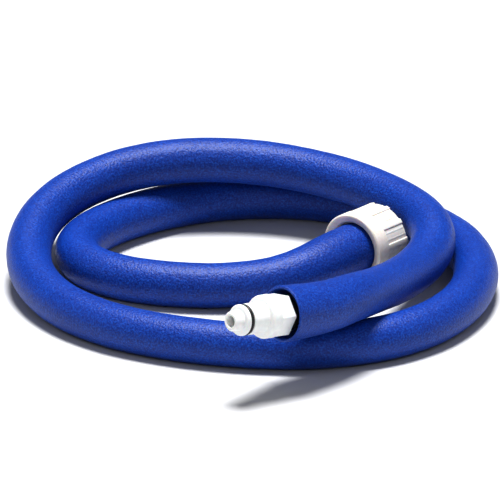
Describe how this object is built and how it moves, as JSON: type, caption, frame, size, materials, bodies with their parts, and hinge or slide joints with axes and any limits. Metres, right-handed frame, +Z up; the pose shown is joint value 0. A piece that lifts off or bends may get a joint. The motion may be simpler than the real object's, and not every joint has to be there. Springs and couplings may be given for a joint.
{
  "type": "pool cleaner feed hose",
  "caption": "Coiled flexible water hose in a foam float sleeve, with a quick-connect plug on one end and a swivel nut with a female hose thread on the other.",
  "frame": {"origin": "centre of the bounding box, on the surface that the coil lies on", "axes": "+Z up; +Y is the coil's longer side, away from the end that carries the plug; +X to the right seen from that side"},
  "size_m": [0.2894, 0.3428, 0.0635],
  "materials": {
    "foam_blue": "royal blue closed-cell foam, satin skin with a fine cell grain",
    "hose_pvc": "grey flexible PVC",
    "plug_white": "white moulded plastic, low gloss",
    "nut_ivory": "ivory moulded plastic, low gloss",
    "seal_black": "black nitrile rubber, slight sheen",
    "ferrule_metal": "plain stainless ferrule",
    "stem_black": "black moulded nylon, dull"
  },
  "bodies": {
    "root": {"foam_sleeve": "foam_blue", "feed_hose": "hose_pvc", "plug_body": "plug_white", "plug_o_ring": "seal_black", "plug_stem": "plug_white", "stem_gasket": "seal_black", "plug_ferrule": "ferrule_metal", "nut_tailpiece": "plug_white", "nut_ferrule": "ferrule_metal"},
    "nut": {"swivel_nut": "nut_ivory", "nut_washer": "seal_black"}
  },
  "joints": [
    {"name": "nut_swivel", "type": "hinge", "parent": "root", "child": "nut", "pos_m": [0.06185, 0.0469, 0.02121], "axis": [0.6259, 0.7799, 0], "continuous": true}
  ]
}
